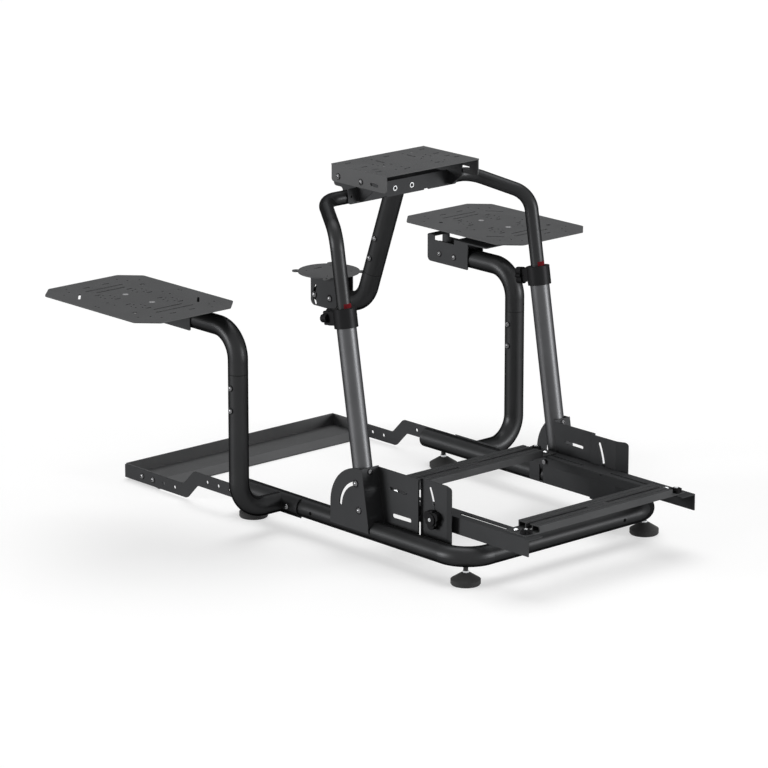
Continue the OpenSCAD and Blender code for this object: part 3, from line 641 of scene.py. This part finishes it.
@dataclass
class ArmFittings:
    """Through bolts, saddle bolts and seams of the two armrest tubes.

    Attributes:
        bolt_heights: Heights of the bolts under the joint.
        saddle_bolt_reach: Distance of the saddle's bolts from the arm, fore and aft.
        saddle_skin: Distance of the saddle's outside from the rail's axis.
        bolts: The bolts of the joint and of the saddle.
    """

    bolt_heights: tuple[float, float] = (387.5 * MM, 330.1 * MM)
    saddle_bolt_reach: float = 47 * MM
    saddle_skin: float = 29 * MM
    bolts: ButtonBolts = field(default_factory=ButtonBolts)

    def build(self) -> None:
        """Adds the fittings of both arms."""
        axis_x, axis_y, tube_r = arm_axis()
        rail_low, rail_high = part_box("right_base_rail")
        rail_x, rail_z = rail_high[0] - tube_r, (rail_low[2] + rail_high[2]) / 2
        joints = [
            place for z in self.bolt_heights for place in across(Vector((axis_x, axis_y, z)), tube_r)
        ]
        self.bolts.fit("arm_joint_bolts", mirrored(joints), "base")
        saddle = [
            Place(Vector((rail_x + self.saddle_skin, axis_y + s * self.saddle_bolt_reach, rail_z)), OUT)
            for s in (-1, 1)
        ]
        self.bolts.fit("arm_saddle_bolts", mirrored(saddle), "base")
        joint_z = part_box("right_lower_arm")[1][2]
        seams = Shape()
        for side in (-1, 1):
            seams.seam(tube_r, Matrix.Translation((side * axis_x, axis_y, joint_z)))
        # The seams are the joints' dark lines, in the near-black of painted shade for their crevice.
        seams.piece("arm_seams", Coat.PAINTED_SHADE, "base")


@dataclass
class PlateFittings:
    """Bolts of the plate brackets and of the armrest plates.

    Attributes:
        bracket_reach: Places of the bracket's bolts in front of the arm's axis.
        stub_z: Height of the arm's forward stub.
        flange: Distance of the bracket's outside from the stub's axis.
        plate_reach: Distance of the plate's bolts from its middle, fore and aft.
        bolts: The bracket's bolts.
        flat_bolts: The plate's bolts.
    """

    bracket_reach: tuple[float, float] = (202 * MM, 258 * MM)
    stub_z: float = 530 * MM
    flange: float = 28 * MM
    plate_reach: float = 52 * MM
    bolts: ButtonBolts = field(default_factory=ButtonBolts)
    flat_bolts: ButtonBolts = field(
        default_factory=lambda: flat_heads(head_r=7.5 * MM, head_h=1.0 * MM, socket_r=2.5 * MM)
    )

    def build(self) -> None:
        """Adds the bolts on both sides of the rig."""
        _, axis_y, _ = arm_axis()
        stub_low, stub_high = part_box("right_upper_arm")
        stub_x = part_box("right_lower_arm")[1][0] - (stub_high[0] - stub_low[0]) / 2
        flanges = [
            place
            for reach in self.bracket_reach
            for place in across(Vector((stub_x, axis_y + reach, self.stub_z)), self.flange)
        ]
        self.bolts.fit("plate_bracket_bolts", mirrored(flanges), "base")
        low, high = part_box("right_side_plate")
        middle = (Vector(low) + Vector(high)) / 2
        tops = [
            Place(Vector((middle.x, middle.y + s * self.plate_reach, high[2])), UP) for s in (-1, 1)
        ]
        self.flat_bolts.fit("side_plate_bolts", mirrored(tops), "base")


@dataclass
class PivotFittings:
    """Washers and bolts of the pivot brackets, the tray strips and the rails' plugs.

    Attributes:
        lock_reach: Distance of the lock bolt from the pivot.
        lock_gap: Room between the cheek and the lock bolt's washer.
        cheek_skin: Distance of the cheek's outside from the upright's axis.
        web_reach: Height of the web's bolt above the pivot, along the lean.
        web_skin: Distance of the web's rear face behind the upright's axis.
        web_shift: Distance of the web's bolt outwards from the upright's axis.
        strip_reach: Places of the tray's bolts behind the strips' front ends.
        strip_z: Height of the tray's bolts.
        plug_y: Fore and aft place of the plug in each rail.
        rear_plug_x: Distance of the rear tube's plugs from the middle.
        plug: Profile of a plug, as pairs of radius and height.
        bolts: The bolts of the web and the tray.
    """

    lock_reach: float = 67 * MM
    lock_gap: float = 0.4 * MM
    cheek_skin: float = 28 * MM
    web_reach: float = 92 * MM
    web_skin: float = 28.2 * MM
    web_shift: float = 2 * MM
    strip_reach: tuple[float, float] = (71 * MM, 115 * MM)
    strip_z: float = 22.5 * MM
    plug_y: float = -8 * MM
    rear_plug_x: float = 187 * MM
    plug: tuple[tuple[float, float], ...] = (
        (4.5 * MM, -1.5 * MM),
        (4.5 * MM, 0.0),
        (3.6 * MM, 0.5 * MM),
        (0.0, 0.6 * MM),
    )
    bolts: ButtonBolts = field(default_factory=ButtonBolts)

    def build(self) -> None:
        """Adds the fittings near the floor."""
        pivot = Place(LEG.at(0.0) + OUT * self.cheek_skin, OUT)
        black_washers("pivot_washers", mirrored([pivot]), "base")
        lock = Place(LEG.at(self.lock_reach) + OUT * (self.cheek_skin + self.lock_gap), OUT)
        black_washers("lock_washers", mirrored([lock]), "uprights")
        web_point = LEG.at(self.web_reach) + OUT * self.web_shift - LEG.ahead * self.web_skin
        self.bolts.fit("web_bolts", mirrored([Place(web_point, -LEG.ahead)]), "base")
        strip_x, strip_y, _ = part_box("right_tray_strip")[1]
        strip = [Place(Vector((strip_x, strip_y - reach, self.strip_z)), OUT) for reach in self.strip_reach]
        self.bolts.fit("tray_bolts", mirrored(strip), "base")
        self._plugs()

    def _plugs(self) -> None:
        """Closes the holes in the rails and the rear tube with black plugs, darkened to the near-black of
        painted shade.
        """
        rail_low, rail_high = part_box("right_base_rail")
        rail_z = (rail_low[2] + rail_high[2]) / 2
        rear_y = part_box("rear_base_tube")[0][1]
        rail_plug = Place(Vector((rail_high[0], self.plug_y, rail_z)), OUT)
        rear_plug = Place(Vector((self.rear_plug_x, rear_y, rail_z)), REAR)
        plugs = Shape()
        for spot in mirrored([rail_plug, rear_plug]):
            plugs.lathe(self.plug, facing(spot.point, spot.axis), SMALL_ROUND)
        # The plugs' near-black is partly their own black and partly painted shade.
        plugs.piece("rail_plugs", Coat.PAINTED_SHADE, "base")


@dataclass
class Feet:
    """Bright nuts on the stems of the levelling feet.

    Attributes:
        nut_r: Radius of a nut across its corners.
        nut_h: Height of a nut.
        nut_z: Height of its underside.
    """

    nut_r: float = 8 * MM
    nut_h: float = 5 * MM
    nut_z: float = 29 * MM

    def build(self) -> None:
        """Adds one nut to each foot."""
        nuts = Shape()
        outline = [(0.0, 0.0), (self.nut_r, 0.0), (self.nut_r, self.nut_h), (0.0, self.nut_h)]
        for name in ("left_front_foot", "right_front_foot", "left_rear_foot", "right_rear_foot"):
            low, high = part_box(name)
            centre = ((low[0] + high[0]) / 2, (low[1] + high[1]) / 2, self.nut_z)
            nuts.lathe(outline, Matrix.Translation(centre), HEXAGON)
        nuts.piece("foot_nuts", Coat.STEEL, "base")


@dataclass
class HoopFittings:
    """Yoke bolts, clamp bushes and red stop marks of the hoop.

    Attributes:
        hoop_r: Outside radius of the hoop's tubes.
        flange_reach: Places of the yoke plate's side bolts in front of its rear edge.
        flange_drop: Depth of those bolts under the plate's top.
        top_bolts: Places of the top screws, sideways and in front of the crossbar.
        screw_depth: How deep the top screws are sunk.
        bush_x: Distance of the strap's bushes from the middle.
        bush_rise: Height of the bushes above the crossbar's axis.
        strap_skin: Distance of the strap's outside from the crossbar's surface.
        bush_r: Inner and outer radius of a bush.
        bush_proud: How far a bush stands out of the strap.
        bush_depth: Depth of the well in a bush.
        mark_start: Distance of a stop mark's lower edge from the pivot.
        mark_h: Height of a stop mark.
        mark_skin: Thickness of its paint.
        mark_half_deg: Half of the angle that it covers, at the rear of the leg.
        mark_sides: Steps round a stop mark.
        bolts: The yoke plate's side bolts.
        screws: The yoke plate's top screws.
    """

    hoop_r: float = 17.5 * MM
    flange_reach: tuple[float, float] = (94 * MM, 178 * MM)
    flange_drop: float = 29 * MM
    top_bolts: tuple[tuple[float, float], ...] = ((80 * MM, 37 * MM), (80 * MM, -38 * MM))
    screw_depth: float = 1.4 * MM
    bush_x: float = 28 * MM
    bush_rise: float = 4 * MM
    strap_skin: float = 3.3 * MM
    bush_r: tuple[float, float] = (4.2 * MM, 6.8 * MM)
    bush_proud: float = 1.0 * MM
    bush_depth: float = 2 * MM
    mark_start: float = 494.5 * MM
    mark_h: float = 11 * MM
    mark_skin: float = 0.12 * MM
    mark_half_deg: float = 42.0
    mark_sides: int = 20
    bolts: ButtonBolts = field(default_factory=ButtonBolts)
    screws: ButtonBolts = field(
        default_factory=lambda: flat_heads(head_r=3.8 * MM, head_h=1.2 * MM, socket_r=1.5 * MM)
    )

    def build(self) -> None:
        """Adds the fittings that move with the hoop."""
        low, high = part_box("yoke_plate")
        yoke = [
            Place(Vector((high[0], low[1] + reach, high[2] - self.flange_drop)), OUT)
            for reach in self.flange_reach
        ]
        self.bolts.fit("yoke_bolts", mirrored(yoke), "hoop")
        top = [
            Place(Vector((x, CROSSBAR[0] + y, high[2] - self.screw_depth)), UP)
            for x, y in self.top_bolts
        ]
        self.screws.fit("yoke_top_screws", mirrored(top), "hoop")
        self._bushes()
        self._stop_marks()

    def _bushes(self) -> None:
        """Adds the two bright bushes in the clamp's rear strap, with painted shade on the floor of each
        bore.
        """
        bar_y, bar_z = CROSSBAR
        strap = Vector((self.bush_x, bar_y - self.hoop_r - self.strap_skin, bar_z + self.bush_rise))
        inner, outer = self.bush_r
        ring = [(outer, 0.0), (outer, self.bush_proud), (inner, self.bush_proud), (inner, -self.bush_depth)]
        floor = [(inner, -self.bush_depth), (0.0, -self.bush_depth)]
        rings, wells = Shape(), Shape()
        for spot in mirrored([Place(strap, REAR)]):
            seat = facing(spot.point, spot.axis)
            rings.lathe(ring, seat, HEAD_ROUND)
            wells.lathe(floor, seat, HEAD_ROUND)
        rings.piece("clamp_bushes", Coat.STEEL, "hoop")
        # The bores' floors are painted shade: near-black where the inside of each bush lies in shade.
        wells.piece("clamp_bush_painted_shade", Coat.PAINTED_SHADE, "hoop")

    def _stop_marks(self) -> None:
        """Paints the red height marks on the rear of both hoop legs."""
        marks = Shape()
        skin = self.hoop_r + self.mark_skin
        strip = [(self.hoop_r, 0.0), (skin, 0.0), (skin, self.mark_h), (self.hoop_r, self.mark_h)]
        span = math.radians(2 * self.mark_half_deg)
        # The leg's rear faces local -Y, which is at -90 degrees.
        start = math.radians(-90 - self.mark_half_deg)
        for side in (-1, 1):
            foot = LEG.at(self.mark_start)
            foot.x *= side
            place = Matrix.Translation(foot) @ Matrix.Rotation(-LEG.lean, 4, "X")
            marks.lathe(strip, place, self.mark_sides, span, start)
        marks.piece("stop_marks", Coat.RED, "hoop")


@dataclass
class StickFittings:
    """Bolts, washers and seam of the stick arm, which moves with the hoop.

    Attributes:
        ahead: Distance of the arm's axis in front of the crossbar, at the crossbar's height.
        lean_deg: Lean of the arm, forwards as it goes down.
        tube_r: Outside radius of the arm.
        bolt_z: Heights of the bolts across the arm.
        joint_z: Height of the joint between the arm's two tubes.
        stub_z: Height of the arm's forward stub.
        ear_skin: Distance of the bracket's ears from the middle, with the lock bolt's gap.
        ear_reach: Places of the bracket's bolts in front of the arm's axis.
        bolts: The bolts across the arm.
    """

    ahead: float = 8 * MM
    lean_deg: float = 20.0
    tube_r: float = 25 * MM
    bolt_z: tuple[float, float] = (691 * MM, 637 * MM)
    joint_z: float = 597 * MM
    stub_z: float = 506 * MM
    ear_skin: float = 28.9 * MM
    ear_reach: tuple[float, float] = (100 * MM, 159 * MM)
    bolts: ButtonBolts = field(default_factory=ButtonBolts)

    def build(self) -> None:
        """Adds the fittings of the stick arm."""
        spots = [place for z in self.bolt_z for place in across(self._axis_at(z), self.tube_r)]
        self.bolts.fit("stick_arm_bolts", spots, "hoop")
        stub_y = self._axis_at(self.stub_z).y
        heads = [
            Place(Vector((-self.ear_skin, stub_y + reach, self.stub_z)), -OUT) for reach in self.ear_reach
        ]
        black_washers("stick_washers", heads, "hoop")
        seam = Shape()
        seam.seam(self.tube_r, facing(self._axis_at(self.joint_z), self._down()))
        # The seam is the joint's dark line, in the near-black of painted shade for its crevice.
        seam.piece("stick_arm_seam", Coat.PAINTED_SHADE, "hoop")

    def _down(self) -> Vector:
        """Gives the direction down the arm."""
        lean = math.radians(self.lean_deg)
        return Vector((0.0, math.sin(lean), -math.cos(lean)))

    def _axis_at(self, height: float) -> Vector:
        """Finds the point of the arm's axis at a height.

        Args:
            height: The height over the floor.

        Returns:
            The point.
        """
        bar_y, bar_z = CROSSBAR
        top = Vector((0.0, bar_y + self.ahead, bar_z))
        return top + self._down() * ((height - bar_z) / self._down().z)


@dataclass
class KnobFittings:
    """Bright nuts in the middle of every hand knob, and the cross rails' clamping bolts.

    Attributes:
        nut_r: Radius of a knob's nut across its corners.
        nut_h: Height of the nut over the recess's floor.
        tip_r: Radius of the bolt's end in the nut.
        tip_h: Height of the bolt's end over the nut.
        recess: Depth of the recess in the seat knobs.
        seat_arc_r: Distance of the seat knobs from the pivot.
        seat_turn_deg: Angle by which they stand above the pivot's level.
        collar_reach: Distance of the collar knob from the pivot, along the lean.
        collar_face: Distance of its recess's floor in front of the leg's axis.
        slot_x: Distance of the seat rails' slots from the middle.
        seat_top: Height of the seat rails' top.
        knob_ahead: Distance of a cross rail's knob from the rail's middle.
        knob_rise: Height of its recess's floor over the seat rails.
        bolt_behind: Distance of the clamping bolt from the rail's middle.
        bolt_rise: Height of the bolt's seat over the seat rails.
        rails: Name and fore and aft place of each cross rail, and the side of its knobs.
    """

    nut_r: float = 5 * MM
    nut_h: float = 4 * MM
    tip_r: float = 2.6 * MM
    tip_h: float = 1.2 * MM
    recess: float = 3 * MM
    seat_arc_r: float = 204 * MM
    seat_turn_deg: float = 3.8
    collar_reach: float = 470.5 * MM
    collar_face: float = 68.5 * MM
    slot_x: float = 254 * MM
    seat_top: float = 149.4 * MM
    knob_ahead: float = 20 * MM
    knob_rise: float = 10 * MM
    bolt_behind: float = 14 * MM
    bolt_rise: float = 3 * MM
    rails: tuple[tuple[str, float, int], ...] = (("front", -202 * MM, 1), ("rear", -655 * MM, -1))

    def build(self) -> None:
        """Adds the nuts and bolts, each on the body of its knob."""
        self._seat_nuts()
        collar = LEG.at(self.collar_reach) + LEG.ahead * self.collar_face
        self._nuts("collar_knob_nuts", [Place(collar, LEG.ahead)], "uprights")
        for name, y, way in self.rails:
            self._cross_fittings(name, y, way)

    def _seat_nuts(self) -> None:
        """Adds the nuts of the two knobs that lock the seat's tilt."""
        turn = math.radians(self.seat_turn_deg)
        knob_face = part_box("seat_knobs")[1][0] - self.recess
        _, pivot_y, pivot_z = LEG.pivot
        back, rise = self.seat_arc_r * math.cos(turn), self.seat_arc_r * math.sin(turn)
        seat = Vector((knob_face, pivot_y - back, pivot_z + rise))
        self._nuts("seat_knob_nuts", [Place(seat, OUT)], "seat_frame")

    def _cross_fittings(self, name: str, y: float, way: int) -> None:
        """Adds the knobs' nuts and the clamping bolts of one cross rail.

        Args:
            name: The rail's name.
            y: Its place fore and aft.
            way: 1 where its knobs stand in front of it, -1 where they stand behind.
        """
        knob = Vector((self.slot_x, y + way * self.knob_ahead, self.seat_top + self.knob_rise))
        bolt = Vector((self.slot_x, y - way * self.bolt_behind, self.seat_top + self.bolt_rise))
        body = f"{name}_cross"
        self._nuts(f"{name}_cross_knob_nuts", [Place(knob, UP)], body)
        ButtonBolts(coat=Coat.STEEL).fit(f"{name}_cross_bolts", mirrored([Place(bolt, UP)]), body)

    def _nuts(self, name: str, places: Sequence[Place], body: str) -> None:
        """Builds hexagon nuts with a bolt's end in each.

        Args:
            name: The piece's name.
            places: Floors of the knobs' recesses on one side.
            body: The CAD body that they move with.
        """
        low, high = self.nut_h - self.tip_h, self.nut_h + self.tip_h
        nut = [(self.nut_r, 0.0), (self.nut_r, self.nut_h), (self.tip_r, self.nut_h)]
        tip = [(self.tip_r, low), (self.tip_r, high), (0.0, high)]
        nuts = Shape()
        for spot in mirrored(places):
            seat = facing(spot.point, spot.axis)
            nuts.lathe(nut, seat, HEXAGON)
            nuts.lathe(tip, seat, SMALL_ROUND)
        nuts.piece(name, Coat.STEEL, body)


def seen_rays(graph: Graph) -> Wire:
    """Tells the rays of the eye, of reflections and of clear materials from the light's own.

    Args:
        graph: The graph of the floor or the world.

    Returns:
        1 for a ray that shows the background, 0 for one that lights the object.
    """
    path = graph.node("ShaderNodeLightPath")
    seen = Wire(graph, path.outputs["Is Camera Ray"]) + Wire(graph, path.outputs["Is Glossy Ray"])
    return seen + Wire(graph, path.outputs["Is Transmission Ray"])


@dataclass(frozen=True)
class Lamp:
    """One wide sun lamp.

    Attributes:
        name: The lamp's name.
        origin: The direction that the light comes from.
        strength: Its strength.
        spread_deg: Its angular width.
    """

    name: str
    origin: tuple[float, float, float]
    strength: float
    spread_deg: float

    def build(self) -> None:
        """Adds the lamp."""
        data = bpy.data.lights.new(self.name, "SUN")
        data.energy = self.strength
        data.angle = math.radians(self.spread_deg)
        lamp = bpy.data.objects.new(self.name, data)
        lamp.rotation_mode = "QUATERNION"
        lamp.rotation_quaternion = Vector(self.origin).to_track_quat("Z", "Y")
        bpy.context.scene.collection.objects.link(lamp)
        LOG.info("lamp %s: strength %.2f", self.name, self.strength)


@dataclass
class Studio:
    """Floor, world and lamps.

    Attributes:
        floor_size: Edge of the square floor.
        floor_grey: Colour of the floor to the eye and in reflections.
        floor_glow: Part of the floor's white that no shadow reaches.
        bounce_grey: Colour of the floor as a light on the object.
        sky_level: Strength of the world on the object.
        lamps: One lamp from above, and two low ones that draw highlights on the tubes.
    """

    floor_size: float = 60.0
    floor_grey: float = 0.5
    floor_glow: float = 0.55
    bounce_grey: float = 0.25
    sky_level: float = 0.2
    lamps: tuple[Lamp, ...] = (
        Lamp("top", origin=(0.25, 0.3, 1.0), strength=1.9, spread_deg=50.0),
        Lamp("left", origin=(-0.84, 0.4, 0.09), strength=2.6, spread_deg=24.0),
        Lamp("right", origin=(0.45, -0.87, 0.09), strength=2.5, spread_deg=24.0),
    )

    def build(self) -> None:
        """Adds the floor, the world and the lamps."""
        self._floor()
        self._world()
        for lamp in self.lamps:
            lamp.build()

    def _floor(self) -> None:
        """Adds the pale floor."""
        half = self.floor_size / 2
        corners = [(-half, -half, 0.0), (half, -half, 0.0), (half, half, 0.0), (-half, half, 0.0)]
        mesh = bpy.data.meshes.new("studio_floor")
        mesh.from_pydata(corners, [], [(0, 1, 2, 3)])
        mesh.materials.append(self._floor_paint())
        made = bpy.data.objects.new("studio_floor", mesh)
        bpy.context.scene.collection.objects.link(made)
        LOG.info("studio floor: %.0f m square", self.floor_size)

    def _floor_paint(self) -> bpy.types.Material:
        """Makes the floor white with a soft shadow to the eye, and dim as a light.

        Returns:
            The floor's material.
        """
        paint = bpy.data.materials.new("studio_floor")
        paint.use_nodes = True
        graph = Graph(paint.node_tree)
        matte = graph.node("ShaderNodeBsdfDiffuse", sockets={"Color": grey(self.floor_grey)})
        glow = graph.node("ShaderNodeEmission", sockets={"Strength": self.floor_glow})
        white = graph.node("ShaderNodeAddShader", sockets={0: matte.outputs[0], 1: glow.outputs[0]})
        bounce = graph.node("ShaderNodeBsdfDiffuse", sockets={"Color": grey(self.bounce_grey)})
        both = graph.node(
            "ShaderNodeMixShader", sockets={0: seen_rays(graph), 1: bounce.outputs[0], 2: white.outputs[0]}
        )
        graph.node("ShaderNodeOutputMaterial", sockets={"Surface": both.outputs[0]})
        return paint

    def _world(self) -> None:
        """Makes the world white to the eye and softer as a light."""
        world = bpy.data.worlds.new("studio_world")
        bpy.context.scene.world = world
        world.use_nodes = True
        graph = Graph(world.node_tree)
        strength = seen_rays(graph) * (1.0 - self.sky_level) + self.sky_level
        sky = graph.node("ShaderNodeBackground", sockets={"Color": grey(1.0), "Strength": strength})
        graph.node("ShaderNodeOutputWorld", sockets={"Surface": sky.outputs[0]})


@dataclass
class PhotoCamera:
    """The camera of the photograph, from behind and to the left of the seat.

    Attributes:
        azimuth_deg: Turn about the vertical.
        elevation_deg: Height above the horizon.
        distance: Distance to the target.
        slide: How far the camera stands to the left of and below the target's line.
        focal_px: Focal length in pixels of the frame.
        frame_px: Width of the frame in pixels.
        sensor_mm: Width of the sensor.
        clip: Nearest and farthest distance that the camera sees.
        target: The point that the camera's line is counted from.
    """

    azimuth_deg: float = -41.95
    elevation_deg: float = 15.35
    distance: float = 10.30401
    slide: tuple[float, float] = (0.17916, 0.03262)
    focal_px: float = 4165.13
    frame_px: float = 768.0
    sensor_mm: float = 36.0
    clip: tuple[float, float] = (0.1, 200.0)
    target: tuple[float, float, float] = (0.0, -0.159, 0.4)

    def build(self) -> None:
        """Adds the camera and makes it the scene's own."""
        turn, rise = math.radians(self.azimuth_deg), math.radians(self.elevation_deg)
        back = Vector((math.sin(turn) * math.cos(rise), -math.cos(turn) * math.cos(rise), math.sin(rise)))
        right = Vector((math.cos(turn), math.sin(turn), 0.0))
        up = back.cross(right)
        left_by, down_by = self.slide
        data = bpy.data.cameras.new("photo_camera")
        data.sensor_width = self.sensor_mm
        data.lens = self.focal_px / self.frame_px * self.sensor_mm
        data.clip_start, data.clip_end = self.clip
        camera = bpy.data.objects.new("photo_camera", data)
        camera.location = Vector(self.target) - right * left_by - up * down_by + back * self.distance
        camera.rotation_mode = "QUATERNION"
        camera.rotation_quaternion = (-back).to_track_quat("-Z", "Y")
        bpy.context.scene.collection.objects.link(camera)
        bpy.context.scene.camera = camera
        LOG.info("camera at %s", tuple(round(c, 3) for c in camera.location))


def dress_solids() -> None:
    """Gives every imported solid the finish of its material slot."""
    slots = {row["node"]: row["material_slot"] for row in frame["record"]["subparts"]}
    for name, solid in frame["nodes"].items():
        coat = SLOT_COATS[slots[name]]
        solid.data.materials.clear()
        solid.data.materials.append(coat.value.material())
        LOG.info("%s: %s", name, coat.value.title)


def main() -> None:
    """Builds the scene, piece by piece."""
    logging.basicConfig(level=logging.INFO, format="%(name)s: %(message)s")
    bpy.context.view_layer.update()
    bpy.context.scene.view_settings.view_transform = "Standard"
    dress_solids()
    parts = (
        ArmFittings(),
        PlateFittings(),
        PivotFittings(),
        Feet(),
        HoopFittings(),
        StickFittings(),
        KnobFittings(),
        Studio(),
        PhotoCamera(),
    )
    for part in parts:
        part.build()


if __name__ == "__main__":
    main()
